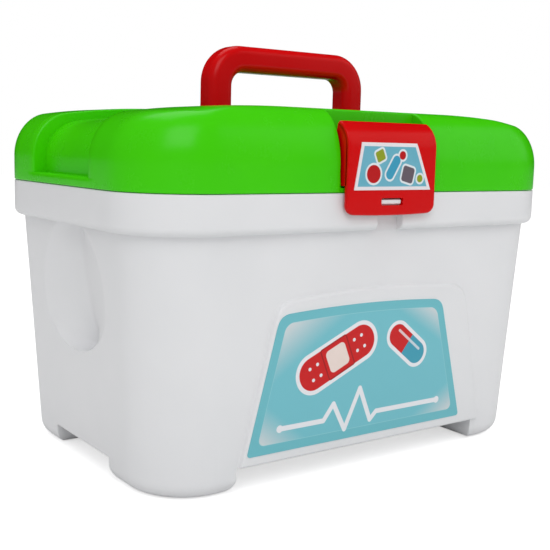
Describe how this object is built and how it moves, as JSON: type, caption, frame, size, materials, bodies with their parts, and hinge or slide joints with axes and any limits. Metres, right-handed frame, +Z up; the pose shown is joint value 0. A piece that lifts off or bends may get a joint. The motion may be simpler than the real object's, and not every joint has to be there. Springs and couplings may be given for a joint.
{
  "type": "toy doctor case",
  "caption": "Toy carrying case: tapered tub on four feet, domed hinged lid with end channels, fold-down handle in a well, and a front latch over a catch.",
  "frame": {"origin": "middle of the footprint, on the plane the four feet stand on", "axes": "+X along the front to the viewer's right, +Y from the latch towards the hinge, +Z up"},
  "size_m": [0.27, 0.191, 0.2187],
  "materials": {
    "white_plastic": "smooth moulded polypropylene, soft gloss",
    "green_plastic": "smooth moulded polypropylene, soft gloss",
    "red_plastic": "smooth moulded polypropylene, soft gloss",
    "label_film": "printed adhesive film, satin",
    "pin_steel": "drawn steel wire"
  },
  "bodies": {
    "case": {"tub": "white_plastic", "front_label": "label_film", "hinge_pin_left": "pin_steel", "hinge_pin_right": "pin_steel"},
    "lid": {"lid": "green_plastic", "handle_pin_left": "pin_steel", "handle_pin_right": "pin_steel", "latch_pin": "pin_steel"},
    "handle": {"handle": "red_plastic"},
    "latch": {"latch": "red_plastic", "latch_label": "label_film"}
  },
  "joints": [
    {"name": "lid_hinge", "type": "hinge", "parent": "case", "child": "lid", "pos_m": [0, 0.0915, 0.144], "axis": [-1, 0, 0], "range_deg": [0, 105]},
    {"name": "handle_pivot", "type": "hinge", "parent": "lid", "child": "handle", "pos_m": [0, -0.0022, 0.174], "axis": [1, 0, 0], "range_deg": [-90, 90]},
    {"name": "latch_pivot", "type": "hinge", "parent": "lid", "child": "latch", "pos_m": [0, -0.084, 0.171], "axis": [-1, 0, 0], "range_deg": [0, 105]}
  ]
}
